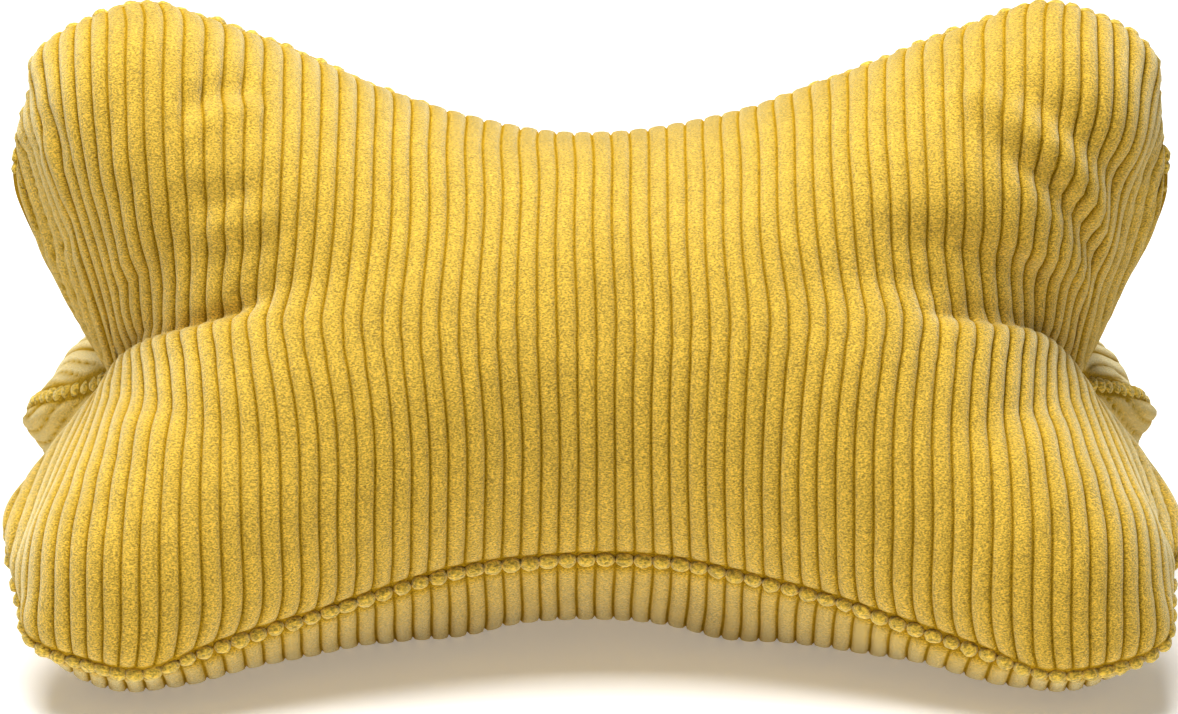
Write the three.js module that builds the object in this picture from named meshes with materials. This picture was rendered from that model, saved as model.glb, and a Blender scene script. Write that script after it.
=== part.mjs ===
// Neck pillow of three alike bone-shaped panels of wide-wale corduroy, sewn edge to edge
// and filled firmly. Three rounded lobes stand at each end; it lies on its under panel.
// The panels are cut flat, sewn into a closed cover, blown up and let down on the surface.
// Millimetres, +Z up, +X along the pillow, the front panel faces -Y.
import * as THREE from "three";

// One cut panel, measured flat from its centre. The wales run along its short way.
const PANEL = {
  tip: 207, // half length, to the outermost point of a lobe
  waist: 84, // half height in the middle
  lobeTop: 137, // half height across the lobes
  lobeRadius: 44, // round corner of a lobe
};

// Grid of the cloth on half a panel: columns to the tip, rows from mid line to seam.
const COLUMNS = 33;
const NOTCH_COLUMN = 31; // where the end is notched and all three seams meet
const ROWS = 12;

// Directions round the length, in degrees: 0 is the front, 90 the top. A panel's mid line may
// fold in between two lobes as far as its fold plane.
const PANELS = [
  { name: "front", middle: 30, fold: 33 },
  { name: "back", middle: 150, fold: 150 },
  { name: "under", middle: 270, fold: 270 },
];
const SEAM_AWAY = 60; // from a panel's mid line to each of its seams

// The filling is packed hard enough to hold the cloth out. In the waist it is a roll of this
// radius, and in the lobes it is balls of fibre, alike at both ends: how far along the pillow,
// how far out from its length and how large. The core fills a lobe's root, the tip its end.
const WAIST_FILLING = [
  { x: 0, radius: 82 },
  { x: 60, radius: 79 },
  { x: 90, radius: 0 },
];
const LOBE_FILLING = [
  { part: "core", along: 60, out: 10, radius: 78 },
  { part: "core", along: 85, out: 24, radius: 72 },
  { part: "core", along: 105, out: 36, radius: 64 },
  { part: "core", along: 118, out: 42, radius: 54 },
  { part: "core", along: 134, out: 40, radius: 44 },
  { part: "tip", along: 120, out: 60, radius: 54 },
  { part: "tip", along: 135, out: 70, radius: 50 },
  { part: "tip", along: 148, out: 82, radius: 45 },
  { part: "tip", along: 158, out: 90, radius: 40 },
];
const UNDER_FILLING = [
  { part: "core", along: 40, out: 8, radius: 81 },
  { part: "core", along: 60, out: 12, radius: 83 },
  { part: "core", along: 85, out: 20, radius: 78 },
];
const FILLED = [
  { name: "top", direction: 92, balls: LOBE_FILLING, core: 0.97, right: 0.97 },
  { name: "front", direction: -31, balls: LOBE_FILLING, core: 1.03, right: 1 },
  { name: "rear", direction: 213, balls: LOBE_FILLING, core: 1, right: 1 },
  { name: "under", direction: 270, balls: UNDER_FILLING, core: 1, right: 1 },
];
const FLOOR = -88; // surface below the middle of the pillow

// The cover sits turned a little on its filling: how far back the top seam lies, in degrees.
const TOP_SEAM_LEAN = { middle: 14, end: 3, length: 100 };

// Cloth as threads between grid points, in newtons, metres and kilograms. The compliances
// say how easily a thread gathers up, a square skews and the cloth bends.
const CLOTH_MASS = 0.38;
const DRAG = 0.01;
const FLOOR_GRIP = 0.4;
const STRAIGHT = { pull: 0, push: 1 };
const SKEW = { pull: 0.2, push: 0.4 };
const BEND = { pull: 1e9, push: 0.6 };
const BEND_SPANS = [2, 4];
const FOLD_COLUMN = 16; // beyond it the mid line folds freely

// Settling: first blown up, then let go to the cover's own size.
const TIME_STEP = 1 / 2000;
const STAGES = [
  { steps: 400, pressure: 60 },
  { steps: 300, pressure: 30 },
];
const FILLING_ENTERS = { from: 100, over: 150, stepLength: 0.3 };
const START_SWELL = { height: 8, reach: 30 }; // so that the flat panels open the right way

const metres = (length) => length / 1000;
const radians = (degrees) => (degrees * Math.PI) / 180;
const share = (value) => Math.min(1, Math.max(0, value));

function around(degrees, radius) {
  const angle = radians(degrees);
  return new THREE.Vector3(0, -Math.cos(angle) * radius, Math.sin(angle) * radius);
}

// Panel outline: a waist arc runs into the lobe arcs, and a shallow arc makes the end notch.
const columnStep = PANEL.tip / COLUMNS;
const notchX = NOTCH_COLUMN * columnStep;
const lobeX = PANEL.tip - PANEL.lobeRadius;
const lobeY = PANEL.lobeTop - PANEL.lobeRadius;

function tangentRadius(along, across, radius) {
  return (along ** 2 + across ** 2 - radius ** 2) / (2 * (radius - across));
}

const waistRadius = tangentRadius(lobeX, PANEL.waist - lobeY, PANEL.lobeRadius);
const notchRadius = tangentRadius(lobeY, notchX - lobeX, PANEL.lobeRadius);
const waistEnd = (lobeX * waistRadius) / (waistRadius + PANEL.lobeRadius);

function seamHeight(x) {
  if (x <= waistEnd) return PANEL.waist + waistRadius - Math.sqrt(waistRadius ** 2 - x ** 2);
  return lobeY + Math.sqrt(PANEL.lobeRadius ** 2 - (x - lobeX) ** 2);
}

function endHeight(x) {
  if (x <= notchX) return 0;
  return Math.sqrt(notchRadius ** 2 - (notchX + notchRadius - x) ** 2);
}

// A name for each grid point, alike for the points that two panels share on a seam.
function pointName(panel, side, column, row) {
  const seam = side > 0 ? panel : (panel + 2) % 3;
  const beyondNotch = Math.abs(column) - NOTCH_COLUMN;
  if (Math.abs(column) === COLUMNS) return `tip ${seam} ${column}`;
  if (row === ROWS) return `long seam ${seam} ${column}`;
  if (row === 0 && beyondNotch > 0) return `end seam ${seam} ${column}`;
  if (row === 0 && beyondNotch === 0) return `notch ${column}`;
  return `panel ${panel} ${column} ${side * row}`;
}

// The cover before filling: panels folded along their mid lines, seams where they belong.
function cutAndSew() {
  const points = [];
  const foldPlanes = []; // for each point, the fold planes that it may not cross
  const named = new Map();
  const halves = [];
  PANELS.forEach(({ middle, fold }, panel) => {
    for (const side of [1, -1]) {
      const half = { panel, side, grid: [], flat: [] };
      for (let column = -COLUMNS; column <= COLUMNS; column++) {
        const x = column * columnStep;
        const low = endHeight(Math.abs(x));
        const high = seamHeight(Math.abs(x));
        const indices = [];
        const places = [];
        for (let row = 0; row <= ROWS; row++) {
          const name = pointName(panel, side, column, row);
          const y = name.startsWith("tip") ? lobeY : low + ((high - low) * row) / ROWS;
          if (!named.has(name)) {
            const point = around(middle + side * SEAM_AWAY, y);
            if (name.startsWith("panel")) {
              const open = share((high - y) / START_SWELL.reach);
              point.add(around(middle, START_SWELL.height * Math.sqrt(open)));
            }
            named.set(name, points.length);
            points.push(point.setX(x).divideScalar(1000));
            foldPlanes.push([]);
          }
          const index = named.get(name);
          if (row > 0) foldPlanes[index].push(around(fold + side * 90, 1));
          indices.push(index);
          places.push(new THREE.Vector2(metres(x), metres(side * y)));
        }
        half.grid.push(indices);
        half.flat.push(places);
      }
      halves.push(half);
    }
  });
  return { points, foldPlanes, halves };
}

// Threads between grid points, each as long as on the flat panel.
function threadsOf({ points, halves }) {
  const threads = new Map();
  const tie = (from, to, kind) => {
    if (!from.half.grid[to.column] || to.row > ROWS) return;
    const a = from.half.grid[from.column][from.row];
    const b = to.half.grid[to.column][to.row];
    const key = Math.min(a, b) * points.length + Math.max(a, b);
    if (a === b || threads.has(key)) return;
    const rest = from.half.flat[from.column][from.row].distanceTo(to.half.flat[to.column][to.row]);
    threads.set(key, { a, b, rest, pull: kind.pull / TIME_STEP ** 2, push: kind.push / TIME_STEP ** 2 });
  };
  for (const half of halves) {
    for (let column = 0; column <= 2 * COLUMNS; column++) {
      for (let row = 0; row <= ROWS; row++) {
        const here = { half, column, row };
        tie(here, { half, column, row: row + 1 }, STRAIGHT);
        tie(here, { half, column: column + 1, row }, STRAIGHT);
        tie(here, { half, column: column + 1, row: row + 1 }, SKEW);
        if (row > 0) tie(here, { half, column: column + 1, row: row - 1 }, SKEW);
        for (const span of BEND_SPANS) {
          tie(here, { half, column, row: row + span }, BEND);
          tie(here, { half, column: column + span, row }, BEND);
        }
      }
    }
  }
  for (const upper of halves.filter((half) => half.side > 0)) {
    const lower = halves.find((half) => half.panel === upper.panel && half.side < 0);
    for (let column = COLUMNS - FOLD_COLUMN + 1; column < COLUMNS + FOLD_COLUMN; column++) {
      for (const span of BEND_SPANS) {
        for (let row = 1; row < span; row++) {
          tie({ half: upper, column, row }, { half: lower, column, row: span - row }, BEND);
        }
      }
    }
  }
  return [...threads.values()];
}

// Triangles with their fronts outward, without the slivers where a column closes on a tip.
function facesOf({ halves }) {
  const faces = [];
  for (const { side, grid } of halves) {
    for (let column = 0; column < 2 * COLUMNS; column++) {
      for (let row = 0; row < ROWS; row++) {
        const [here, next] = [grid[column], grid[column + 1]];
        const ring = [here[row], next[row], next[row + 1], here[row + 1]];
        if (side < 0) ring.reverse();
        const corners = ring.filter((corner, i) => ring.indexOf(corner) === i);
        if (corners.length === 4 && (column + row) % 2) corners.push(corners.shift());
        for (let i = 2; i < corners.length; i++) faces.push([corners[0], corners[i - 1], corners[i]]);
      }
    }
  }
  return faces;
}

function waistRadiusAt(x) {
  const outer = WAIST_FILLING.findIndex((row) => x < metres(row.x));
  if (outer < 0) return 0;
  const [from, to] = [WAIST_FILLING[outer - 1], WAIST_FILLING[outer]];
  const along = (x - metres(from.x)) / metres(to.x - from.x);
  return metres(from.radius + (to.radius - from.radius) * along);
}

function ballsOfFilling() {
  return FILLED.flatMap(({ direction, balls, core, right }) =>
    balls.flatMap(({ part, along, out, radius }) =>
      [-1, 1].map((end) => {
        const size = radius * (part === "core" ? core : 1) * (end > 0 ? right : 1);
        return new THREE.Sphere(around(direction, metres(out)).setX(metres(end * along)), metres(size));
      }),
    ),
  );
}

// By how much a point's distance grows when it lies inside the filling, by a small step at most.
function heldOut(distance, radius) {
  const near = Math.max(distance, 1e-5);
  return distance < radius ? Math.min(radius, near + metres(FILLING_ENTERS.stepLength)) / near : 1;
}

// Blow the cover up with the filling's pressure and let it settle on the surface.
function fill({ points, foldPlanes }, threads, faces) {
  const inverseMass = points.length / CLOTH_MASS;
  const balls = ballsOfFilling();
  const velocities = points.map(() => new THREE.Vector3());
  const edge = new THREE.Vector3();
  const otherEdge = new THREE.Vector3();
  const offset = new THREE.Vector3();
  const push = new THREE.Vector3();
  const pressures = STAGES.flatMap((stage) => Array(stage.steps).fill(stage.pressure));

  pressures.forEach((pressure, step) => {
    const before = points.map((point) => point.clone());
    for (const face of faces) {
      const [a, b, c] = face.map((corner) => before[corner]);
      push.crossVectors(edge.subVectors(b, a), otherEdge.subVectors(c, a));
      push.multiplyScalar((pressure * inverseMass * TIME_STEP) / 6);
      for (const corner of face) velocities[corner].add(push);
    }
    points.forEach((point, i) => {
      point.addScaledVector(velocities[i].multiplyScalar(1 - DRAG), TIME_STEP);
    });
    for (const thread of threads) {
      const [a, b] = [points[thread.a], points[thread.b]];
      const length = edge.subVectors(a, b).length();
      const excess = length - thread.rest;
      const give = 2 * inverseMass + (excess > 0 ? thread.pull : thread.push);
      edge.multiplyScalar((-excess * inverseMass) / give / Math.max(length, 1e-9));
      a.add(edge);
      b.sub(edge);
    }
    const entered = share((step - FILLING_ENTERS.from) / FILLING_ENTERS.over);
    points.forEach((point, i) => {
      const radius = waistRadiusAt(Math.abs(point.x)) * entered;
      const grown = heldOut(Math.hypot(point.y, point.z), radius);
      point.set(point.x, point.y * grown, point.z * grown);
      for (const ball of balls) {
        offset.subVectors(point, ball.center);
        point.addScaledVector(offset, heldOut(offset.length(), ball.radius * entered) - 1);
      }
      for (const plane of foldPlanes[i]) {
        point.addScaledVector(plane, Math.max(0, -point.dot(plane)));
      }
      if (point.z < metres(FLOOR)) {
        point.lerp(before[i], FLOOR_GRIP).setZ(metres(FLOOR));
      }
      velocities[i].subVectors(point, before[i]).divideScalar(TIME_STEP);
    });
  });
}

function lean(point) {
  if (point.z <= 0) return point;
  const radius = Math.hypot(point.y, point.z);
  const angle = THREE.MathUtils.radToDeg(Math.atan2(point.z, -point.y));
  const middle = Math.exp(-((point.x / TOP_SEAM_LEAN.length) ** 2));
  const turned = THREE.MathUtils.lerp(TOP_SEAM_LEAN.end, TOP_SEAM_LEAN.middle, middle);
  return around(angle + turned * (point.z / radius) ** 3, radius).setX(point.x);
}

const cover = cutAndSew();
const faces = facesOf(cover);
fill(cover, threadsOf(cover), faces);
const rested = cover.points.map((point) => lean(point.clone().multiplyScalar(1000)));

const box = new THREE.Box3().setFromPoints(rested);
const base = box.getCenter(new THREE.Vector3()).setZ(box.min.z);
for (const point of rested) point.sub(base);

const geometry = new THREE.BufferGeometry().setFromPoints(rested);
geometry.setIndex(faces.flat());
geometry.computeVertexNormals();

const corduroy = new THREE.MeshStandardMaterial({ name: "corduroy", color: 0xd9b848, roughness: 0.9 });
const pillow = new THREE.Mesh(geometry, corduroy);
pillow.name = "pillow";

const group = new THREE.Group();
group.name = "neck_pillow";
group.add(pillow);

export default group;
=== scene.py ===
"""A bone-shaped neck pillow of three alike corduroy panels, sewn edge to edge and stuffed.

The cover is simulated as cloth: cut flat, sewn, filled, set down, and then given its wales,
seams and creases. Metres, Z up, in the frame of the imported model.
"""

import math
from collections import namedtuple

import bmesh
import bpy
import numpy as np
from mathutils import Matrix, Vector


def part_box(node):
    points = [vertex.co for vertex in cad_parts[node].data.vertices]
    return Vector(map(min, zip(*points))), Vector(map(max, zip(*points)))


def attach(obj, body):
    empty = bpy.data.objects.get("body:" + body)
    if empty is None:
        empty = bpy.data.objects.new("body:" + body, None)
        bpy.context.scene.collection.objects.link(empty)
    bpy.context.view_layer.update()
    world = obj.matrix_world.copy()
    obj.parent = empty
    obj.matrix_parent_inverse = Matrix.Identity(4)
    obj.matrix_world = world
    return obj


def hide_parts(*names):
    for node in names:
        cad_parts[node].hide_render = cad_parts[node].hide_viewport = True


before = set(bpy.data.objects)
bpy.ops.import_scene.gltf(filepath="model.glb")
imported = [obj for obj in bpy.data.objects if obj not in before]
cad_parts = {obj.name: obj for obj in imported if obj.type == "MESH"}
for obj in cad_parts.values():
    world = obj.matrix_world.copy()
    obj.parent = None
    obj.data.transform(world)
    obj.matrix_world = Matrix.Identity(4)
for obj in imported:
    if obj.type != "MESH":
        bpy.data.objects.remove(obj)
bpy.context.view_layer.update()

MM = 0.001

# One cut panel, measured flat from its centre. Its wales run along its short way, and a grid
# column of the cloth lies in each groove between them.
WALE = 6.3 * MM
TIP_COLUMN = 33
NOTCH_COLUMN = 31
ROWS = 18
WAIST = 84 * MM
LOBE_TOP = 138 * MM
LOBE_RADIUS = 44 * MM

# Directions round the pillow's length, in degrees: 0 is the front, 90 the top. A panel's seams
# start out so far to both sides of its middle, and its mid line folds in towards the fold.
DOWN = 270
Panel = namedtuple("Panel", "name middle fold")
PANELS = [
    Panel("front_panel", 30, 33),
    Panel("back_panel", 150, 150),
    Panel("under_panel", DOWN, DOWN),
]
SEAM_AWAY = 60

# The filling, as balls of fibre on both sides of the middle, in millimetres: how far along the
# pillow, how far out from its length, and how large. The core fills the root of a lobe and the
# tip its end.
Ball = namedtuple("Ball", "part along out radius")
LOBE_FILLING = [
    Ball("core", 60, 10, 78),
    Ball("core", 85, 24, 72),
    Ball("core", 105, 36, 64),
    Ball("core", 118, 42, 54),
    Ball("core", 134, 40, 44),
    Ball("tip", 120, 60, 54),
    Ball("tip", 135, 70, 50),
    Ball("tip", 148, 82, 45),
    Ball("tip", 158, 90, 40),
]
UNDER_FILLING = [
    Ball("core", 40, 8, 81),
    Ball("core", 60, 12, 83),
    Ball("core", 85, 20, 78),
]
# Each pair of lobes has its own share of those sizes, and the right one its share of the left.
Lobe = namedtuple("Lobe", "name direction core tip right")
LOBES = [
    Lobe("top", 92, 0.94, 0.975, 0.97),
    Lobe("front", -31, 1.03, 1.0, 1.0),
    Lobe("rear", 213, 1.0, 1.0, 0.94),
]
# The waist's own round filling tapers to the first length from the middle and ends at the next.
WAIST_RADIUS = 82 * MM
WAIST_TAPER = 3 * MM
WAIST_FILLED = (60 * MM, 90 * MM)
SURFACE = -88 * MM  # the surface it lies on, below the pillow's length

# Cloth as threads that hold when pulled and gather when slack. A thread gives way by so many
# metres for each newton. Those along the grid are the yarns, the skew ones shear, the long ones
# bend, and the ones at the rim keep two panels rounded where they are sewn together.
Thread = namedtuple("Thread", "pulled slack")
FREE = 1e9
STRAIGHT = Thread(0.0, 1.0)
SKEW = Thread(0.2, 0.4)
BEND = Thread(FREE, 0.6)
RIM = Thread(FREE, 0.1)
BEND_SPANS = (2, 4)
FOLD_COLUMN = 16  # beyond it the mid line folds freely
RIM_WIDTH = 16 * MM
RIM_ROUND = 0.85
SWELL, SWELL_REACH = 8 * MM, 30 * MM  # how the flat panels stand off at the start

# The settling: kilograms, seconds and pascals. The filling comes in from its first step, over
# so many, and pushes the cloth out by a little at each.
CLOTH_MASS = 0.38
DRAG = 0.01
GRIP = 0.4  # share of its slide that the surface takes from cloth lying on it
TIME_STEP = 1 / 2000
Pressure = namedtuple("Pressure", "steps pascals")
PRESSURES = [Pressure(400, 60.0), Pressure(300, 30.0)]
FILL_FROM, FILL_OVER, FILL_STEP = 100, 150, 0.3 * MM
AT_CENTRE = 0.01 * MM  # the least distance from a ball's centre that gives a direction

# The cover sits turned on its filling, by degrees: the top seam lies behind the crest of the
# waist, and the seam below the front is drawn up a little at the waist.
LEAN_MIDDLE, LEAN_END = 26, 3
LEAN_LENGTH = 100 * MM
DRAWN_UP, DRAWN_LENGTH = 5, 60 * MM
# How quickly the turns die away from the top and from the front, as powers.
TOP_FADE = 3
BELOW_FRONT_FADE, ABOVE_FRONT_FADE = 6, 12


def around(degrees):
    """The unit direction at that angle round the pillow's length."""
    angle = math.radians(degrees)
    return np.array([0, -math.cos(angle), math.sin(angle)])


# Panel outline


LOBE_X = TIP_COLUMN * WALE - LOBE_RADIUS
LOBE_Y = LOBE_TOP - LOBE_RADIUS
NOTCH_X = NOTCH_COLUMN * WALE


def tangent_radius(along, across, radius):
    """Radius of the hollow arc that runs smoothly into a lobe's round corner."""
    return (along**2 + across**2 - radius**2) / (2 * (radius - across))


WAIST_ARC = tangent_radius(LOBE_X, WAIST - LOBE_Y, LOBE_RADIUS)
NOTCH_ARC = tangent_radius(LOBE_Y, NOTCH_X - LOBE_X, LOBE_RADIUS)
WAIST_END = LOBE_X * WAIST_ARC / (WAIST_ARC + LOBE_RADIUS)


def seam_height(x):
    """How far the long seam lies from the mid line, x along the panel."""
    x = np.abs(x)
    waist = WAIST + WAIST_ARC - np.sqrt(WAIST_ARC**2 - np.minimum(x, WAIST_END) ** 2)
    lobe = LOBE_Y + np.sqrt(np.maximum(0, LOBE_RADIUS**2 - (x - LOBE_X) ** 2))
    return np.where(x <= WAIST_END, waist, lobe)


def end_height(x):
    """How far the notched end lies from the mid line, nothing before the notch."""
    x = np.maximum(np.abs(x), NOTCH_X)
    middle = NOTCH_X + NOTCH_ARC
    return np.sqrt(np.maximum(0, NOTCH_ARC**2 - (middle - x) ** 2))


# Sewn cover as a grid of points


def cut_and_sew():
    """The three flat panels, folded along their mid lines, with shared points on the seams."""
    columns = np.arange(-TIP_COLUMN, TIP_COLUMN + 1)
    grid = np.zeros((3, 2, len(columns), ROWS + 1), int)
    flat = np.zeros(grid.shape + (2,))
    named = {}
    points = []
    for panel, side, i, row in np.ndindex(grid.shape):
        column = columns[i]
        sign = 1 if side == 0 else -1
        seam = panel if side == 0 else (panel + 2) % 3
        x = column * WALE
        low, high = float(end_height(x)), float(seam_height(x))
        y = low + (high - low) * row / ROWS
        beyond = abs(column) - NOTCH_COLUMN
        if abs(column) == TIP_COLUMN:
            y = LOBE_Y
            name = ("tip", seam, column)
        elif row == ROWS:
            name = ("long seam", seam, column)
        elif row == 0 and beyond > 0:
            name = ("end seam", seam, column)
        elif row == 0 and beyond == 0:
            name = ("notch", column)
        else:
            name = ("panel", panel, column, sign * row)
        if name not in named:
            place = np.array([x, 0, 0]) + y * around(PANELS[panel].middle + sign * SEAM_AWAY)
            if name[0] == "panel":
                away = high - y if beyond <= 0 else min(high - y, y - low)
                rise = SWELL * math.sqrt(min(1, max(0, away / SWELL_REACH)))
                place += rise * around(PANELS[panel].middle)
            named[name] = len(points)
            points.append(place)
        grid[panel, side, i, row] = named[name]
        flat[panel, side, i, row] = x, sign * y
    return np.array(points), grid, flat


def tie_threads(grid, flat):
    """Threads between grid points, each as long as on the flat panel, by kind."""
    threads = {}

    def tie(start, end, kind, rest=None):
        a, b = grid[start], grid[end]
        pair = (min(a, b), max(a, b))
        if a == b or pair in threads:
            return
        if rest is None:
            rest = math.dist(flat[start], flat[end])
        threads[pair] = (rest, kind)

    last = 2 * TIP_COLUMN
    for panel, side, i, row in np.ndindex(grid.shape):
        here = (panel, side, i, row)
        if row < ROWS:
            tie(here, (panel, side, i, row + 1), STRAIGHT)
        if i < last:
            tie(here, (panel, side, i + 1, row), STRAIGHT)
            if row < ROWS:
                tie(here, (panel, side, i + 1, row + 1), SKEW)
            if row > 0:
                tie(here, (panel, side, i + 1, row - 1), SKEW)
        for span in BEND_SPANS:
            if row + span <= ROWS:
                tie(here, (panel, side, i, row + span), BEND)
            if i + span <= last:
                tie(here, (panel, side, i + span, row), BEND)
            if side == 0 and 0 < row < span and abs(i - TIP_COLUMN) < FOLD_COLUMN:
                tie(here, (panel, 1, i, span - row), BEND)
    for panel, i, row in np.ndindex(3, last + 1, ROWS):
        inset = seam_distance(*flat[panel, 0, i, row])
        if MM < inset < RIM_WIDTH:
            across = ((panel + 1) % 3, 1, i, row)
            tie((panel, 0, i, row), across, RIM, 2 * inset * RIM_ROUND)
    return threads


def seam_distance(x, y):
    """Roughly how far a point of the flat panel lies from the nearest seam."""
    x, y = abs(x), abs(y)
    inset = float(seam_height(x)) - y
    if x > NOTCH_X:
        inset = min(inset, y - float(end_height(x)))
    corner = math.hypot(x - LOBE_X, y - LOBE_Y)
    if x > LOBE_X and corner < LOBE_RADIUS:
        inset = min(inset, LOBE_RADIUS - corner)
    return inset


def grid_faces(grid):
    """Triangles of the cover with their fronts outward."""
    faces = []
    for panel, side, i, row in np.ndindex(3, 2, 2 * TIP_COLUMN, ROWS):
        corners = grid[panel, side]
        ring = [corners[i, row], corners[i + 1, row], corners[i + 1, row + 1], corners[i, row + 1]]
        if side == 1:
            ring.reverse()
        ring = list(dict.fromkeys(ring))
        if len(ring) == 4 and (i + row) % 2:
            ring = ring[1:] + ring[:1]
        faces += [(ring[0], ring[k - 1], ring[k]) for k in range(2, len(ring))]
    return np.array(faces)


# Cloth simulation


def batches_of(threads):
    """Threads sorted into groups in which no point is held twice, so a group moves at once."""
    used = {}
    groups = []
    for (a, b), (rest, kind) in threads.items():
        taken = used.setdefault(a, set()) | used.setdefault(b, set())
        group = next(k for k in range(len(taken) + 1) if k not in taken)
        used[a].add(group)
        used[b].add(group)
        if group == len(groups):
            groups.append([])
        groups[group].append((a, b, rest, kind.pulled, kind.slack))
    batches = []
    for group in groups:
        table = np.array(group)
        ends = table[:, :2].astype(int)
        batches.append((ends[:, 0], ends[:, 1], table[:, 2], *(table[:, 3:].T / TIME_STEP**2)))
    return batches


def filling_balls():
    """Centre and radius of every ball of filling."""
    balls = []
    for lobe in LOBES:
        for ball in LOBE_FILLING:
            for end in (-1, 1):
                size = lobe.core if ball.part == "core" else lobe.tip
                size *= lobe.right if end > 0 else 1
                centre = np.array([end * ball.along, 0, 0]) + ball.out * around(lobe.direction)
                balls.append((centre * MM, ball.radius * MM * size))
    for ball in UNDER_FILLING:
        for end in (-1, 1):
            centre = np.array([end * ball.along, 0, 0]) + ball.out * around(DOWN)
            balls.append((centre * MM, ball.radius * MM))
    return balls


def hold_out(points, centre, radius, axes=(0, 1, 2)):
    """Points inside the radius move out from the centre, by a small step at most."""
    offset = points[:, axes] - centre
    length = np.sqrt(np.einsum("ij,ij->i", offset, offset))
    inside = np.nonzero(length < radius)[0]
    radius = radius[inside] if np.ndim(radius) else radius
    near = np.maximum(length[inside], AT_CENTRE)
    grown = np.minimum(radius, near + FILL_STEP) / near - 1
    points[np.ix_(inside, axes)] += offset[inside] * grown[:, None]


def relax(points, grid, faces, threads):
    """Blows the cover up and lets it settle on its filling and on the surface."""
    count = len(points)
    inverse_mass = count / CLOTH_MASS
    batches = batches_of(threads)
    balls = filling_balls()
    sides = np.zeros((3, count))
    for panel in range(3):
        sides[panel, grid[panel, 0, :, 1:].ravel()] = 1
        sides[panel, grid[panel, 1, :, 1:].ravel()] = -1
    fold_planes = [around(panel.fold + 90) for panel in PANELS]
    speeds = np.zeros_like(points)
    pressures = [stage.pascals for stage in PRESSURES for _ in range(stage.steps)]
    for step, pressure in enumerate(pressures):
        a, b, c = (points[faces[:, k]] for k in range(3))
        # The cross product is twice the triangle's area, and each corner takes a third.
        push = np.cross(b - a, c - a) * pressure * inverse_mass * TIME_STEP / 6
        for axis in range(3):
            for corner in faces.T:
                speeds[:, axis] += np.bincount(corner, push[:, axis], count)
        speeds *= 1 - DRAG
        moved = points + speeds * TIME_STEP
        for start, end, rest, pulled, slack in batches:
            apart = moved[start] - moved[end]
            length = np.maximum(np.sqrt(np.einsum("ij,ij->i", apart, apart)), 1e-9)
            excess = length - rest
            give = 2 * inverse_mass + np.where(excess > 0, pulled, slack)
            shift = apart * (excess * inverse_mass / give / length)[:, None]
            moved[start] -= shift
            moved[end] += shift
        entered = min(1, max(0, (step - FILL_FROM) / FILL_OVER))
        waist = np.interp(
            np.abs(moved[:, 0]), (0, *WAIST_FILLED), (WAIST_RADIUS, WAIST_RADIUS - WAIST_TAPER, 0)
        )
        hold_out(moved, np.zeros(2), waist * entered, axes=(1, 2))
        for centre, radius in balls:
            hold_out(moved, centre, radius * entered)
        for side, plane in zip(sides, fold_planes):
            across = moved @ plane
            crossed = side * across < 0
            moved[crossed] -= across[crossed, None] * plane
        sunk = moved[:, 2] < SURFACE
        moved[sunk, 2] = SURFACE
        moved[sunk, :2] += GRIP * (points[sunk, :2] - moved[sunk, :2])
        speeds = (moved - points) / TIME_STEP
        points = moved
    return points


def lean(points):
    """Turns the top of the cover back on its filling, and draws up the seam below the front."""
    x, y, z = points.T
    radius = np.hypot(y, z)
    middle = np.exp(-((x / LEAN_LENGTH) ** 2))
    turn = LEAN_END + (LEAN_MIDDLE - LEAN_END) * middle
    angle = np.arctan2(z, -y) + np.radians(turn) * np.maximum(0, z / radius) ** TOP_FADE
    drawn = np.radians(DRAWN_UP) * np.exp(-((x / DRAWN_LENGTH) ** 2))
    fade = np.where(z < 0, BELOW_FRONT_FADE, ABOVE_FRONT_FADE)
    angle += drawn * np.maximum(0, -y / radius) ** fade
    return np.column_stack([x, -radius * np.cos(angle), radius * np.sin(angle)])


# Fine surface with its wales


# Where the cloth is sampled: in each wale from groove to groove, at the notched ends evenly
# along their seams, and along the wales from the mid line (0) to the seam (1), closer at both.
WALE_SAMPLES = (0, 0.12, 0.36, 0.64, 0.88)
END_SAMPLES = 46
ROW_SAMPLES = [(0, 0), (4, 0.07), (30, 0.88), (40, 1)]
FOLD_GROWS = 5  # columns over which the fold along the mid line grows sharp

PILE = 1.5 * MM  # height of a wale over the groove
WALE_FLAT = 3.0  # how flat the top of a wale is
NARROWEST_WALE = 2.5 * MM
END_ROUND = 3.5 * MM  # how far a wale's end is rounded where a seam cuts it
TUFT_ROW = 6.5 * MM  # width of the row of tufts along a seam
UNDER_TUFTS = 0.2  # height of the pile between them
OUTLINE_STEPS = 400  # on each stretch of the seam line
GAP_STEP = 3  # takes every third of them where gaps are measured on the sewn cover
LAST_WALES = 4  # before the notch, whose width the wales beyond it have
EDGE_SAMPLES = 12  # for each sampled row, on the line where the last of them ends

# The seam allowance lies under one panel's side of each seam, and its wales stand up there as a
# row of tufts. Side 0 is towards the next panel, 1 back.
TuftRow = namedtuple("TuftRow", "seam panel side lift")
TUFT_ROWS = [
    TuftRow("below the front", 2, 0, 0.7 * MM),
    TuftRow("top", 1, 1, -0.7 * MM),
    TuftRow("below the back", 1, 0, 0.2 * MM),
]
TUFTED = [(row.panel, row.side) for row in TUFT_ROWS]

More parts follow.
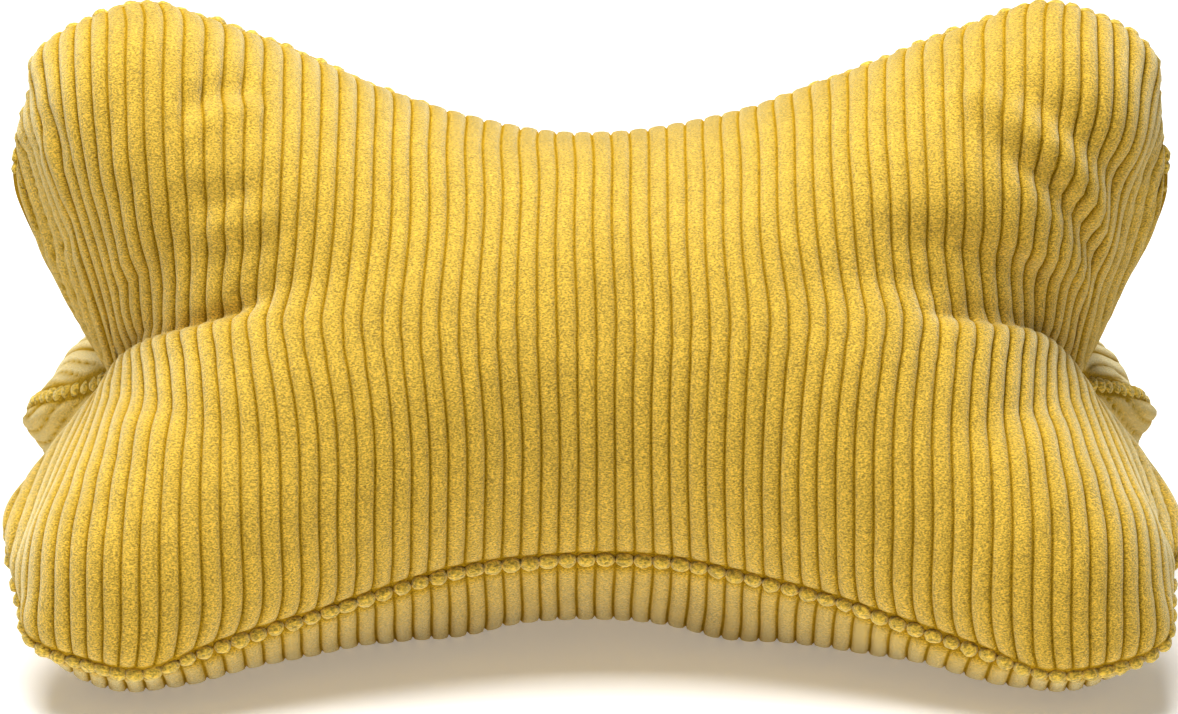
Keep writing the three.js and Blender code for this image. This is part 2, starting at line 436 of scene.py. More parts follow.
# Wrinkles where the cloth was pushed about, as lines on the flat front panel in millimetres: a
# ridge rises and a valley sinks by its height, and both fade over their width.
Wrinkle = namedtuple("Wrinkle", "name height width line")
WRINKLES = [
    Wrinkle("left fold", -2.6, 4, [(-194, 3), (-161, 0), (-131, 3), (-117, 7), (-100, 11)]),
    Wrinkle("under left fold", 1.5, 7, [(-190, -8), (-161, -10), (-131, -7), (-105, -2)]),
    Wrinkle("right fold", -2.6, 4, [(100, 3), (119, 2), (133, 0), (161, 4), (194, 4)]),
    Wrinkle("under right fold", 1.5, 7, [(105, -6), (133, -9), (161, -8), (190, -8)]),
    Wrinkle("left dimple", -2.4, 5, [(-142, 80), (-128, 84), (-112, 79)]),
    Wrinkle("left dimple rim", 1.8, 5, [(-144, 70), (-128, 74), (-108, 70)]),
    Wrinkle("left dent", -2.2, 5, [(-150, 60), (-134, 47), (-124, 45), (-110, 41)]),
    Wrinkle("left dent rim", 1.8, 5, [(-136, 37), (-120, 35), (-104, 35)]),
    Wrinkle("left corner pleat", -2.4, 4, [(-193, 103), (-188, 92), (-184, 80)]),
    Wrinkle("left end pleat", -1.8, 4, [(-204, 99), (-201, 83), (-199, 68), (-196, 52)]),
    Wrinkle("left end ridge", 1.5, 4, [(-197, 95), (-194, 80), (-191, 64)]),
    Wrinkle("right outer valley", -3.4, 8, [(134, 92), (150, 88), (168, 82), (186, 76), (200, 62)]),
    Wrinkle("right long ridge", 3.2, 6, [(118, 84), (134, 80), (156, 73), (178, 64), (198, 44)]),
    Wrinkle("right valley", -2.8, 6, [(132, 67), (150, 65), (166, 58), (184, 51), (197, 34)]),
    Wrinkle("right short ridge", 2.2, 6, [(130, 54), (150, 54), (166, 48), (183, 40), (196, 24)]),
]
WRINKLE_ENDS = 4  # a wrinkle fades over this part of its length at each end

# Slow waves all over, because no wale runs quite straight.
WAVES, WAVE_LENGTHS, WAVE_HEIGHT = 8, (25 * MM, 70 * MM), 0.3 * MM
WAVE_SEED = 3


def spline_weights(count, places):
    """Weights that read a smooth curve through count values at those places."""
    places = np.asarray(places, float)
    base = np.minimum(places.astype(int), count - 2)
    t = places - base
    cubic = np.array(
        [
            -t + 2 * t**2 - t**3,
            2 - 5 * t**2 + 3 * t**3,
            t + 4 * t**2 - 3 * t**3,
            -(t**2) + t**3,
        ]
    )
    weights = np.zeros((len(places), count + 2))
    for k in range(4):
        weights[np.arange(len(places)), base + k] += cubic[k] / 2
    weights[:, 1] += 2 * weights[:, 0]
    weights[:, 2] -= weights[:, 0]
    weights[:, -2] += 2 * weights[:, -1]
    weights[:, -3] -= weights[:, -1]
    return weights[:, 1:-1]


def smooth_step(value):
    """Eases from 0 to 1."""
    value = np.clip(value, 0, 1)
    return value * value * (3 - 2 * value)


END_WALES = TIP_COLUMN - NOTCH_COLUMN


def column_places():
    """Sampled places along the panel, in wales from its left tip."""
    end = END_WALES * (1 - np.cos(np.linspace(0, np.pi, END_SAMPLES + 1))) / 2
    wales = np.arange(END_WALES, END_WALES + 2 * NOTCH_COLUMN)[:, None] + np.array(WALE_SAMPLES)
    return np.concatenate([end[:-1], wales.ravel(), END_WALES + 2 * NOTCH_COLUMN + end])


def row_places():
    """Sampled places from the mid line to the seam, in rows of the simulated cloth."""
    steps, shares = zip(*ROW_SAMPLES)
    return ROWS * np.interp(np.arange(steps[-1] + 1), steps, shares)


PLACES = column_places()
ROW_PLACES = row_places()
BEFORE_NOTCH = np.abs(PLACES - TIP_COLUMN) <= NOTCH_COLUMN
FLAT_X = (PLACES - TIP_COLUMN) * WALE
FLAT_LOW = end_height(FLAT_X)
FLAT_HIGH = seam_height(FLAT_X)
FLAT_Y = FLAT_LOW[:, None] + (FLAT_HIGH - FLAT_LOW)[:, None] * ROW_PLACES / ROWS


def even_places():
    """The same places, but even along the end seams, where a column meets the seam at a slant."""
    offset = PLACES - TIP_COLUMN
    beyond = np.maximum(np.abs(offset) - NOTCH_COLUMN, 0) / END_WALES
    even = NOTCH_COLUMN + END_WALES / np.pi * np.arccos(1 - 2 * np.minimum(beyond, 1))
    return np.where(beyond > 0, TIP_COLUMN + np.sign(offset) * even, PLACES)


def fine_half(points, grid, panel, side):
    """The smooth surface of one half panel, columns by rows from its mid line to its seam."""
    near, far = points[grid[panel, side]], points[grid[panel, 1 - side]]
    both = np.concatenate([far[:, :0:-1], near], axis=1)
    joined = np.einsum("rj,cjk->crk", spline_weights(2 * ROWS + 1, ROWS + ROW_PLACES), both)
    folded = np.einsum("rj,cjk->crk", spline_weights(ROWS + 1, ROW_PLACES), near)
    column = np.abs(np.arange(-TIP_COLUMN, TIP_COLUMN + 1))
    sharp = smooth_step((column - FOLD_COLUMN) / FOLD_GROWS)
    lines = joined + (folded - joined) * sharp[:, None, None]
    even, straight = (
        np.einsum("ci,irk->crk", spline_weights(2 * TIP_COLUMN + 1, places), lines)
        for places in (even_places(), PLACES)
    )
    return even + (straight - even) * (ROW_PLACES / ROWS)[:, None]


NOTCHES = np.nonzero(BEFORE_NOTCH)[0][[0, -1]]


def share_edges(values):
    """Gives edges that are sewn or folded together the same values, panel by side, and so the
    points at the tips and at the notches, where several edges meet."""
    values[:, :, BEFORE_NOTCH, 0] = values[:, :, BEFORE_NOTCH, 0].mean(axis=1, keepdims=True)
    values[:, :, NOTCHES, 0] = values[:, :, NOTCHES, 0].mean(axis=(0, 1), keepdims=True)
    for panel in range(3):
        following = (panel + 1) % 3
        for where, row in ((slice(None), -1), (~BEFORE_NOTCH, 0)):
            shared = (values[panel, 0, where, row] + values[following, 1, where, row]) / 2
            values[panel, 0, where, row] = shared
            values[following, 1, where, row] = shared
        for tip in (0, -1):
            shared = (values[panel, 0, tip].mean(axis=0) + values[following, 1, tip].mean(axis=0)) / 2
            values[panel, 0, tip] = shared
            values[following, 1, tip] = shared
    return values


def unit(vectors):
    """The vectors at a length of 1."""
    return vectors / np.maximum(np.linalg.norm(vectors, axis=-1, keepdims=True), 1e-12)


def outward(surface):
    """Unit normals of the surface, panel by side by column by row."""
    normals = np.cross(np.gradient(surface, axis=2), np.gradient(surface, axis=3))
    normals[:, 1] *= -1
    return unit(share_edges(unit(normals)))


def outline():
    """A quarter of the seam line on the flat panel, from the waist round the lobe to the notch."""
    turn = np.linspace(0, 1, OUTLINE_STEPS)
    x = np.linspace(0, LOBE_X, OUTLINE_STEPS)
    waist = np.column_stack([x, seam_height(x)])
    end = math.atan2(LOBE_Y, NOTCH_ARC + NOTCH_X - LOBE_X)
    corner = math.pi / 2 - turn * (math.pi / 2 + end)
    lobe = np.column_stack(
        [LOBE_X + LOBE_RADIUS * np.cos(corner), LOBE_Y + LOBE_RADIUS * np.sin(corner)]
    )
    y = np.linspace(lobe[-1, 1], 0, OUTLINE_STEPS)
    notch = np.column_stack(
        [NOTCH_X + NOTCH_ARC - np.sqrt(np.maximum(0, NOTCH_ARC**2 - y**2)), y]
    )
    return np.concatenate([waist, lobe[1:], notch[1:]])


def flat_gaps():
    """How far each sampled spot of a flat half panel lies from its nearest seam."""
    line = outline()
    gaps = np.empty(FLAT_Y.shape)
    for i, x in enumerate(np.abs(FLAT_X)):
        away = np.hypot(x - line[:, 0], FLAT_Y[i][:, None] - line[:, 1])
        gaps[i] = away.min(axis=1)
    return gaps


def fine_place(x, y):
    """The sampled column and row at a place of the flat half panel."""
    column = np.interp(x, FLAT_X, np.arange(len(FLAT_X)))
    low, high = np.interp(x, FLAT_X, FLAT_LOW), np.interp(x, FLAT_X, FLAT_HIGH)
    share = (y - low) / np.maximum(high - low, MM) * ROWS
    return column, np.interp(share, ROW_PLACES, np.arange(len(ROW_PLACES)))


def between(values, column, row):
    """Values read between the columns and rows of a sampled surface."""
    column = np.clip(column, 0, values.shape[0] - 1.001)
    row = np.clip(row, 0, values.shape[1] - 1.001)
    i, j = column.astype(int), row.astype(int)
    s, t = (column - i)[:, None], (row - j)[:, None]
    near = values[i, j] * (1 - t) + values[i, j + 1] * t
    far = values[i + 1, j] * (1 - t) + values[i + 1, j + 1] * t
    return near * (1 - s) + far * s


def seam_gaps(half, gaps):
    """The flat gaps, but as they are on the sewn cover where its ends are drawn out wide."""
    line = outline()[::GAP_STEP]
    gaps = gaps.copy()
    for end in (-1, 1):
        seam = between(half, *fine_place(end * line[:, 0], line[:, 1]))
        for i in np.nonzero(end * (PLACES - TIP_COLUMN) > NOTCH_COLUMN - END_WALES)[0]:
            gaps[i] = np.linalg.norm(half[i][:, None] - seam, axis=-1).min(axis=1)
    return gaps


def rounded(distance, reach):
    """Rises from 0 as a quarter circle and stays at 1 beyond the reach."""
    return np.sqrt(1 - (1 - np.clip(distance / reach, 0, 1)) ** 2)


def wale_phases(half):
    """Which wale each spot of a half panel lies on. The notched ends are drawn out wide, and
    there the wales are counted at the width of the last ones before them."""
    phase = np.repeat((PLACES - TIP_COLUMN)[:, None], half.shape[1], axis=1)
    before = np.nonzero(BEFORE_NOTCH)[0]
    inward = LAST_WALES * len(WALE_SAMPLES)
    dense = np.linspace(0, half.shape[1] - 1, EDGE_SAMPLES * half.shape[1])
    rows = np.arange(half.shape[1])
    for edge, inner, beyond in (
        (before[0], before[0] + inward, np.arange(before[0])),
        (before[-1], before[-1] - inward, np.arange(before[-1] + 1, len(half))),
    ):
        line = np.column_stack([np.interp(dense, rows, half[edge, :, k]) for k in range(3)])
        width = np.linalg.norm(half[inner, :, None] - line, axis=-1).min(axis=1) / LAST_WALES
        gaps = np.linalg.norm(half[beyond][:, :, None] - line, axis=-1)
        nearest = gaps.argmin(axis=-1)
        widths = np.maximum(np.interp(dense[nearest], rows, width), NARROWEST_WALE)
        phase[beyond] = np.sign(phase[beyond]) * (NOTCH_COLUMN + gaps.min(axis=-1) / widths)
    return phase


def crown_of(phase, gaps, tufted):
    """Height of the pile from 0 in the grooves and seams to 1 on the wales."""
    across = np.abs(phase % 1 - 0.5) * 2
    wale = np.sqrt(np.maximum(0, 1 - across**WALE_FLAT))
    if not tufted:
        return wale * rounded(gaps, END_ROUND)
    strip = UNDER_TUFTS * rounded(gaps, MM)
    return wale * np.maximum(strip, rounded(gaps - TUFT_ROW, END_ROUND))


def wrinkle_height(side):
    """How far the wrinkles lift or sink each sampled spot of the front panel's half."""
    spots = np.stack(np.broadcast_arrays(FLAT_X[:, None], FLAT_Y * (1 - 2 * side)), -1)
    height = np.zeros(FLAT_Y.shape)
    for wrinkle in WRINKLES:
        line = np.array(wrinkle.line) * MM
        away = np.full(FLAT_Y.shape, np.inf)
        fade = np.zeros(FLAT_Y.shape)
        for k, (start, end) in enumerate(zip(line, line[1:])):
            run = end - start
            along = np.clip((spots - start) @ run / (run @ run), 0, 1)
            gap = np.linalg.norm(spots - start - along[..., None] * run, axis=-1)
            closer = gap < away
            away = np.where(closer, gap, away)
            place = (k + along) / (len(line) - 1)
            fade = np.where(closer, np.minimum(place, 1 - place), fade)
        shape = np.exp(-((away / (wrinkle.width * MM)) ** 2))
        height += wrinkle.height * MM * smooth_step(WRINKLE_ENDS * fade) * shape
    return height


def wavered(surface):
    """The surface with slow waves, the same wherever two panels meet."""
    chance = np.random.default_rng(WAVE_SEED)
    moved = surface.copy()
    for _ in range(WAVES):
        way, push = chance.normal(size=(2, 3))
        turns = surface @ (way / np.linalg.norm(way)) / chance.uniform(*WAVE_LENGTHS)
        wave = np.sin(2 * np.pi * (turns + chance.uniform()))
        moved += WAVE_HEIGHT * wave[..., None] * push / np.linalg.norm(push)
    return moved


MERGED = 0.005 * MM  # sewn points nearer than this are one
SLIVER = 0.002 * MM  # edges shorter than this go


def cover_mesh(surface, crowns):
    """The whole cover as one closed mesh."""
    count = surface[0, 0, ..., 0].size
    square = np.arange(count).reshape(surface.shape[2:4])
    ring = np.stack([square[:-1, :-1], square[1:, :-1], square[1:, 1:], square[:-1, 1:]], -1)
    ring = ring.reshape(-1, 4)
    faces = [
        (2 * panel + side) * count + (ring[:, ::-1] if side else ring)
        for panel, side in np.ndindex(3, 2)
    ]
    mesh = bpy.data.meshes.new("cover")
    mesh.from_pydata(surface.reshape(-1, 3).tolist(), [], np.concatenate(faces).tolist())
    # The crown also sets the pile's colour, darker as painted shade where it is low.
    crown = mesh.attributes.new("crown", "FLOAT", "POINT")
    crown.data.foreach_set("value", crowns.ravel())
    mesh.polygons.foreach_set("use_smooth", [True] * len(mesh.polygons))
    sewn = bmesh.new()
    sewn.from_mesh(mesh)
    bmesh.ops.remove_doubles(sewn, verts=sewn.verts, dist=MERGED)
    bmesh.ops.dissolve_degenerate(sewn, edges=sewn.edges, dist=SLIVER)
    sewn.to_mesh(mesh)
    sewn.free()
    mesh.validate()
    return mesh


# Colours and nodes


def linear(hex_colour):
    """A hex colour turned to the linear numbers that a shader takes."""
    channels = [int(hex_colour[i : i + 2], 16) / 255 for i in (1, 3, 5)]
    return [c / 12.92 if c <= 0.04045 else ((c + 0.055) / 1.055) ** 2.4 for c in channels] + [1]


def add(tree, kind, inputs=(), links=(), **settings):
    """Adds a node with its settings, input values and links from other nodes' outputs."""
    node = tree.nodes.new(kind)
    for name, value in settings.items():
        setattr(node, name, value)
    for key, value in dict(inputs).items():
        node.inputs[key].default_value = value
    for key, output in dict(links).items():
        tree.links.new(output, node.inputs[key])
    return node


# Row of tufts along the seams


TUFT_SIZE = (6.9 * MM, 6.2 * MM, 5.2 * MM)  # along the seam, across it and standing up
TUFT_LEAST, TUFT_MOST = (0.88, 0.9, 0.8), (1.08, 1.1, 1.15)  # each one's own share of that
TUFTS_APART = 6.6 * MM  # where they aren't as far apart as the wales
FIRST_TUFT, LAST_TUFT = 0.5, 0.4  # from the waist's middle and from the notch, in tufts


def tuft_spots(surface, normals):
    """Where each tuft stands, which way is out and which way its wale runs."""
    line = outline()
    ahead = np.gradient(line, axis=0)
    inward = np.column_stack([ahead[:, 1], -ahead[:, 0]])
    inset = line + unit(inward) * TUFT_ROW / 2
    wales = np.abs(np.diff(line[:, 0])) / WALE
    steps = np.arange(len(line))
    places, outs, ways = [], [], []
    for tufts in TUFT_ROWS:
        half, out_ways = surface[tufts.panel, tufts.side], normals[tufts.panel, tufts.side]
        for end in (-1, 1):
            seam = between(half, *fine_place(end * line[:, 0], line[:, 1]))
            inner = between(half, *fine_place(end * inset[:, 0], inset[:, 1]))
            out = between(out_ways, *fine_place(end * inset[:, 0], inset[:, 1]))
            apart = np.linalg.norm(np.diff(seam, axis=0), axis=1) / TUFTS_APART
            phase = np.append(0, np.cumsum(np.maximum(apart, wales)))
            spots = np.interp(np.arange(FIRST_TUFT, phase[-1] - LAST_TUFT), phase, steps)
            seam, inner, out = (
                np.column_stack([np.interp(spots, steps, values[:, k]) for k in range(3)])
                for values in (seam, inner, out)
            )
            way = inner - seam
            way *= TUFT_ROW / 2 / np.maximum(np.linalg.norm(way, axis=1, keepdims=True), MM)
            places.append(seam + way + out * tufts.lift)
            outs.append(out)
            ways.append(way)
    return np.concatenate(places), np.concatenate(outs), np.concatenate(ways)


def tuft_tree(cloth):
    """Geometry Nodes that stand a rough tuft on each point, turned along its wale. The lump is
    1 across, so that its scale is its size, and noise of the grain's size roughens it."""
    tree = bpy.data.node_groups.new("tufts_along_seam", "GeometryNodeTree")
    inputs = {}
    tree.interface.new_socket("Spots", in_out="INPUT", socket_type="NodeSocketGeometry")
    for name, kind, value in (
        ("Size", "NodeSocketVector", TUFT_SIZE),
        ("Grain", "NodeSocketFloat", 1.1 * MM),
        ("Roughness", "NodeSocketFloat", 1.5 * MM),
        ("Seed", "NodeSocketInt", 7),
        ("Cloth", "NodeSocketMaterial", cloth),
    ):
        socket = tree.interface.new_socket(name, in_out="INPUT", socket_type=kind)
        socket.default_value = value
        inputs[name] = socket.identifier
    tree.interface.new_socket("Tufts", in_out="OUTPUT", socket_type="NodeSocketGeometry")
    given = add(tree, "NodeGroupInput").outputs
    out = add(tree, "GeometryNodeInputNamedAttribute", {"Name": "out"}, data_type="FLOAT_VECTOR")
    way = add(tree, "GeometryNodeInputNamedAttribute", {"Name": "way"}, data_type="FLOAT_VECTOR")
    stand = add(
        tree, "FunctionNodeAlignRotationToVector", (), {"Vector": out.outputs["Attribute"]}, axis="Z"
    )
    turn = add(
        tree,
        "FunctionNodeAlignRotationToVector",
        (),
        {"Rotation": stand.outputs["Rotation"], "Vector": way.outputs["Attribute"]},
        axis="Y",
        pivot_axis="Z",
    )
    vary = add(
        tree,
        "FunctionNodeRandomValue",
        {"Min": TUFT_LEAST, "Max": TUFT_MOST},
        {"Seed": given["Seed"]},
        data_type="FLOAT_VECTOR",
    )
    size = add(
        tree,
        "ShaderNodeVectorMath",
        (),
        {0: given["Size"], 1: vary.outputs["Value"]},
        operation="MULTIPLY",
    )
    lump = add(tree, "GeometryNodeMeshIcoSphere", {"Radius": 0.5, "Subdivisions": 2})
    stood = add(
        tree,
        "GeometryNodeInstanceOnPoints",
        (),
        {
            "Points": given["Spots"],
            "Instance": lump.outputs["Mesh"],
            "Rotation": turn.outputs["Rotation"],
            "Scale": size.outputs["Vector"],
        },
    )
    real = add(tree, "GeometryNodeRealizeInstances", (), {"Geometry": stood.outputs["Instances"]})
    fine = add(tree, "ShaderNodeMath", {0: 1.0}, {1: given["Grain"]}, operation="DIVIDE")
    noise = add(
        tree,
        "ShaderNodeTexNoise",
        {"Detail": 1.0},
        {"W": given["Seed"], "Scale": fine.outputs["Value"]},
        noise_dimensions="4D",
    )
    swing = add(
        tree,
        "ShaderNodeMath",
        {1: 0.5},
        {0: noise.outputs["Fac"]},
        operation="SUBTRACT",
    )
    reach = add(
        tree,
        "ShaderNodeMath",
        (),
        {0: swing.outputs["Value"], 1: given["Roughness"]},
        operation="MULTIPLY",
    )
    normal = add(tree, "GeometryNodeInputNormal")
    push = add(
        tree,
        "ShaderNodeVectorMath",
        (),
        {"Vector": normal.outputs["Normal"], "Scale": reach.outputs["Value"]},
        operation="SCALE",
    )
    rough = add(
        tree,
        "GeometryNodeSetPosition",
        (),
        {"Geometry": real.outputs["Geometry"], "Offset": push.outputs["Vector"]},
    )
    topped = add(
        tree,
        "GeometryNodeStoreNamedAttribute",
        {"Name": "crown", "Value": 0.8},
        {"Geometry": rough.outputs["Geometry"]},
    )
    soft = add(tree, "GeometryNodeSetShadeSmooth", (), {"Geometry": topped.outputs["Geometry"]})
    dye_and_painted_shade = add(
        tree,
        "GeometryNodeSetMaterial",
        (),
        {"Geometry": soft.outputs["Geometry"], "Material": given["Cloth"]},
    )
    add(tree, "NodeGroupOutput", (), {"Tufts": dye_and_painted_shade.outputs["Geometry"]})
    return tree, inputs


def stand_tufts(spots, cloth):
    """The tufts as one plain mesh object."""
    places, outs, ways = spots
    mesh = bpy.data.meshes.new("tuft_spots")
    mesh.from_pydata(places.tolist(), [], [])
    for name, vectors in (("out", outs), ("way", ways)):
        vector = mesh.attributes.new(name, "FLOAT_VECTOR", "POINT")
        vector.data.foreach_set("vector", vectors.ravel())
    source = bpy.data.objects.new("tuft_spots", mesh)
    bpy.context.scene.collection.objects.link(source)
    tree, inputs = tuft_tree(cloth)
    modifier = source.modifiers.new("tufts", "NODES")
    modifier.node_group = tree
    modifier[inputs["Size"]] = TUFT_SIZE
    modifier[inputs["Cloth"]] = cloth
    evaluated = source.evaluated_get(bpy.context.evaluated_depsgraph_get())
    tufts = bpy.data.objects.new("seam_tufts", bpy.data.meshes.new_from_object(evaluated))
    bpy.context.scene.collection.objects.link(tufts)
    source.modifiers.remove(modifier)
    bpy.data.objects.remove(source)
    return tufts


# Materials


# Sockets of the Mix node for colours, which share their names with its other ones.
MIX_A, MIX_B, MIX_RESULT = 6, 7, 2
DRAWN_OUT = 0.6  # how often specks follow each other across the wales, against along them
PIT, FIBRE_END = 0.42, 1.5  # how dark and how bright the specks are
CLOUDS = 90  # to the metre, the slow changes of tone where the pile was stroked
CLOUD_DARK, CLOUD_BRIGHT = 0.94, 1.06


def pile(name, grooves, tops, tuft, depth):
    """A cotton pile, darker and without its sheen where the attribute "crown" is low: the darker
    groove colour there is painted shade. Its fibre ends are specks of about the tuft's width,
    drawn out a little across the wales."""
    material = bpy.data.materials.new(name)
    material.use_nodes = True
    tree = material.node_tree
    shader = tree.nodes["Principled BSDF"]
    shader.inputs["Roughness"].default_value = 0.9
    shader.inputs["Specular IOR Level"].default_value = 0.1
    shader.inputs["Sheen Roughness"].default_value = 0.5
    shader.inputs["Sheen Tint"].default_value = linear("#FFFDE0")
    place = add(tree, "ShaderNodeTexCoord")
    drawn = add(
        tree,
        "ShaderNodeMapping",
        {"Scale": (DRAWN_OUT / MM, 1 / MM, 1 / MM)},
        {"Vector": place.outputs["Object"]},
    )
    specks = add(
        tree,
        "ShaderNodeTexNoise",
        {"Scale": MM / tuft, "Detail": 3.0, "Roughness": 0.7},
        {"Vector": drawn.outputs["Vector"]},
    )
    clouds = add(
        tree,
        "ShaderNodeTexNoise",
        {"Scale": CLOUDS, "Detail": 2.0},
        {"Vector": place.outputs["Object"]},
    )
    fleck = add(
        tree,
        "ShaderNodeMapRange",
        {"From Min": 0.34, "From Max": 0.66, "To Min": PIT, "To Max": FIBRE_END},
        {"Value": specks.outputs["Fac"]},
    )
    cloud = add(
        tree,
        "ShaderNodeMapRange",
        {"From Min": 0.3, "From Max": 0.7, "To Min": CLOUD_DARK, "To Max": CLOUD_BRIGHT},
        {"Value": clouds.outputs["Fac"]},
    )
    shade = add(
        tree,
        "ShaderNodeMath",
        (),
        {0: fleck.outputs["Result"], 1: cloud.outputs["Result"]},
        operation="MULTIPLY",
    )
    crown = add(tree, "ShaderNodeAttribute", attribute_name="crown")
    shine = add(
        tree,
        "ShaderNodeMapRange",
        {"From Min": 0.35, "From Max": 0.95},
        {"Value": crown.outputs["Fac"]},
    )
    tree.links.new(shine.outputs["Result"], shader.inputs["Sheen Weight"])
    # Painted shade: the colour goes to the darker groove colour where the crown is low, in the
    # grooves and along the seams.
    dye_and_painted_shade = add(
        tree,
        "ShaderNodeMix",
        {MIX_A: linear(grooves), MIX_B: linear(tops)},
        {"Factor": crown.outputs["Fac"]},
        data_type="RGBA",
    )
    tone = add(
        tree,
        "ShaderNodeVectorMath",
        (),
        {"Vector": dye_and_painted_shade.outputs[MIX_RESULT], "Scale": shade.outputs["Value"]},
        operation="SCALE",
    )
    bump = add(
        tree,
        "ShaderNodeBump",
        {"Strength": 0.9, "Distance": depth},
        {"Height": specks.outputs["Fac"]},
    )
    tree.links.new(tone.outputs["Vector"], shader.inputs["Base Color"])
    tree.links.new(bump.outputs["Normal"], shader.inputs["Normal"])
    return material


def jumbo_corduroy():
    """Cotton woven with loose floats that are cut open and brushed up in wales. It looks matt and
    specked, with a pale bloom on the wales, where light catches the fibres' sides, and deep
    unlit grooves, whose darker colour is painted shade. A tuft of fibre ends is 0.2 to 0.3 mm
    wide, drawn coarser so that it shows."""
    # A37F12 is the groove colour: the pile's own colour darkened as painted shade.
    return pile("jumbo_corduroy", "#A37F12", "#D8B242", tuft=0.5 * MM, depth=0.5 * MM)


def splayed_cotton_pile():
    """The same pile where a seam cuts its wales: the ends splay out and curl, so they look
    paler, rougher and more shaggy than the wales."""
    return pile("splayed_cotton_pile", "#B48C1C", "#EAC854", tuft=0.9 * MM, depth=1.0 * MM)


def plain(name, colour, roughness, glow):
    """One even colour, which shines through from behind by the glow."""
    material = bpy.data.materials.new(name)
    material.use_nodes = True
    shader = material.node_tree.nodes["Principled BSDF"]
    shader.inputs["Base Color"].default_value = linear(colour)
    shader.inputs["Roughness"].default_value = roughness
    shader.inputs["Emission Color"].default_value = linear(colour)
    shader.inputs["Emission Strength"].default_value = glow
    return material


# Pillow


def settled_cover():
    """The simulated cover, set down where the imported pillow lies, with its grid and with the
    place of the middle of its length."""
    points, grid, flat = cut_and_sew()
    threads = tie_threads(grid, flat)
    points = lean(relax(points, grid, grid_faces(grid), threads))
    low, high = (np.array(corner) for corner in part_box("pillow"))
    under = np.array([(low[0] + high[0]) / 2, (low[1] + high[1]) / 2, low[2]])
    middle = (points.min(axis=0) + points.max(axis=0)) / 2
    base = np.array([middle[0], middle[1], SURFACE - PILE])
    return points - base + under, grid, under - base * (0, 1, 1)


def fine_cover(points, grid):
    """The fine surface of the cover, waved and wrinkled, and its normals."""
    surface = np.array(
        [[fine_half(points, grid, panel, side) for side in (0, 1)] for panel in range(3)]
    )
    surface = wavered(share_edges(surface))
    wrinkles = np.array([wrinkle_height(side) for side in (0, 1)])
    surface[0] += outward(surface)[0] * wrinkles[..., None]
    surface = share_edges(surface)
    return surface, outward(surface)


def pile_height(surface):
    """Height of the pile on every spot of the cover, from 0 to 1."""
    gaps = flat_gaps()
    crowns = np.empty(surface.shape[:-1])
    for panel, side in np.ndindex(crowns.shape[:2]):
        half = surface[panel, side]
        tufted = (panel, side) in TUFTED
        crowns[panel, side] = crown_of(wale_phases(half), seam_gaps(half, gaps), tufted)
    return share_edges(crowns)


def build_pillow():
    """Makes the cover and its tufts, and returns where the middle of its length lies."""
    points, grid, middle = settled_cover()
    surface, normals = fine_cover(points, grid)
    crowns = pile_height(surface)
    face = surface + normals * crowns[..., None] * PILE
    face[..., 2] = np.maximum(face[..., 2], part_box("pillow")[0][2])
    cover = bpy.data.objects.new("cover", cover_mesh(face, crowns))
    cover.data.materials.append(jumbo_corduroy())
    bpy.context.scene.collection.objects.link(cover)
    tufts = stand_tufts(tuft_spots(surface, normals), splayed_cotton_pile())
    for piece in (cover, tufts):
        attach(piece, "root")
        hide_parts("pillow")
    return middle


# Stage: plain floor, soft light and the camera


FLOOR_SIZE, FLOOR_GLOW = 12.0, 0.22
ROOM_LIGHT = 0.06
CAMERA_HEIGHT = 20  # degrees above the pillow's middle
CAMERA_AWAY = 3.0
LENS, SENSOR = 261, 36.0  # millimetres
FAR = 20.0  # where the camera's view ends
IMAGE_WIDTH = 1178
AXIS_PIXEL = (591, 369)  # where the middle of the pillow's length shows
IMAGE_MIDDLE = (589, 357)


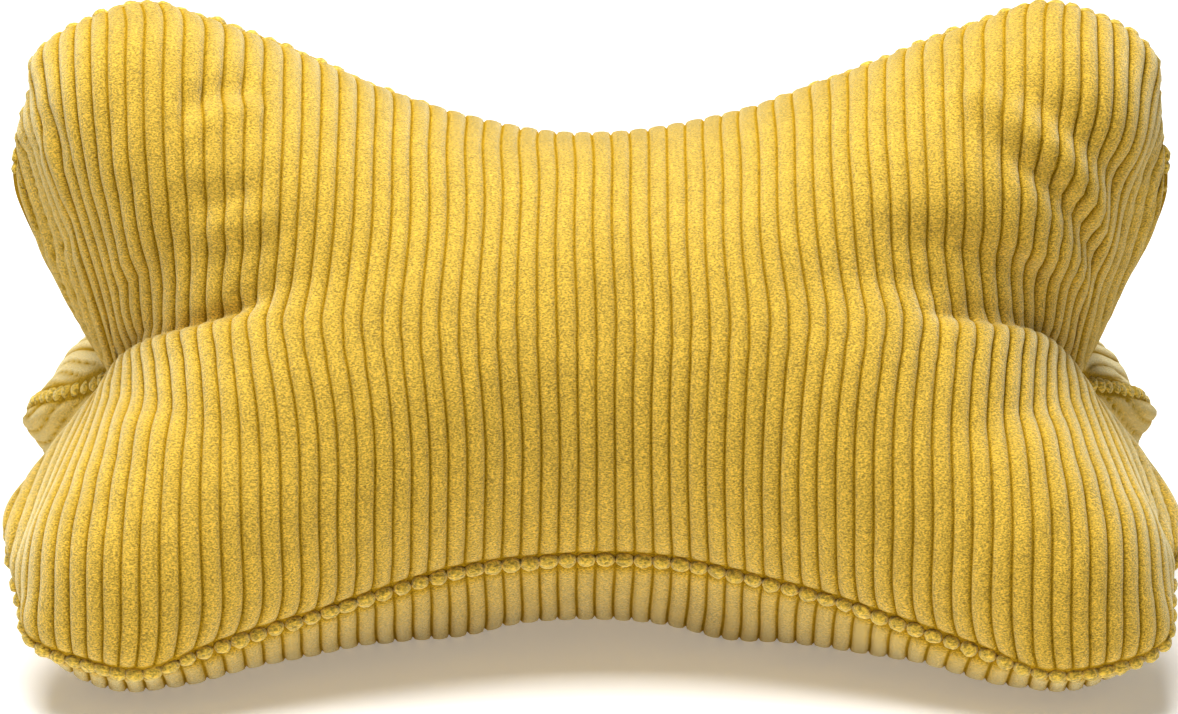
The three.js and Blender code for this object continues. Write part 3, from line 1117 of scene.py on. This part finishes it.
def stand_camera(middle):
    """The camera, aimed so that the middle of the pillow's length shows at its pixel."""
    pixel = CAMERA_AWAY * SENSOR / LENS / IMAGE_WIDTH
    tilt = math.radians(CAMERA_HEIGHT)
    back = Vector((0, -math.cos(tilt), math.sin(tilt)))
    up = Vector((0, math.sin(tilt), math.cos(tilt)))
    right = Vector((1, 0, 0))
    aim = Vector(middle)
    aim -= right * (AXIS_PIXEL[0] - IMAGE_MIDDLE[0]) * pixel
    aim += up * (AXIS_PIXEL[1] - IMAGE_MIDDLE[1]) * pixel
    data = bpy.data.cameras.new("camera")
    data.lens = LENS
    data.sensor_width = SENSOR
    data.clip_end = FAR
    camera = bpy.data.objects.new("camera", data)
    camera.location = aim + back * CAMERA_AWAY
    camera.rotation_euler = (-back).to_track_quat("-Z", "Y").to_euler()
    bpy.context.scene.collection.objects.link(camera)
    bpy.context.scene.camera = camera


def lay_floor():
    """Opal acrylic sheet with a sanded face, a shooting table lit weakly from below: an even
    white, and soft shadows that don't turn dark."""
    half = FLOOR_SIZE / 2
    mesh = bpy.data.meshes.new("floor")
    corners = [(-half, -half, 0), (half, -half, 0), (half, half, 0), (-half, half, 0)]
    mesh.from_pydata(corners, [], [(0, 1, 2, 3)])
    mesh.materials.append(plain("sanded_opal_acrylic", "#FAFAFA", 0.9, FLOOR_GLOW))
    floor = bpy.data.objects.new("floor", mesh)
    bpy.context.scene.collection.objects.link(floor)


Lamp = namedtuple("Lamp", "name x y z size watts")
LAMPS = [
    Lamp("overhead_softbox", -0.2, 0.0, 1.7, 1.2, 45),
    Lamp("front_fill", 0.2, -1.8, 1.0, 1.2, 0.8),
]


def hang_lights():
    """Square softboxes aimed at the pillow, and a little light from the white room."""
    for lamp in LAMPS:
        data = bpy.data.lights.new(lamp.name, "AREA")
        data.size = lamp.size
        data.energy = lamp.watts
        light = bpy.data.objects.new(lamp.name, data)
        light.location = (lamp.x, lamp.y, lamp.z)
        light.rotation_euler = (-light.location).to_track_quat("-Z", "Y").to_euler()
        bpy.context.scene.collection.objects.link(light)
    world = bpy.data.worlds.new("studio")
    world.use_nodes = True
    background = world.node_tree.nodes["Background"]
    background.inputs["Color"].default_value = (1, 1, 1, 1)
    background.inputs["Strength"].default_value = ROOM_LIGHT
    bpy.context.scene.world = world


stand_camera(build_pillow())
lay_floor()
hang_lights()
bpy.context.scene.view_settings.view_transform = "Standard"
bpy.context.scene.view_settings.look = "Medium High Contrast"
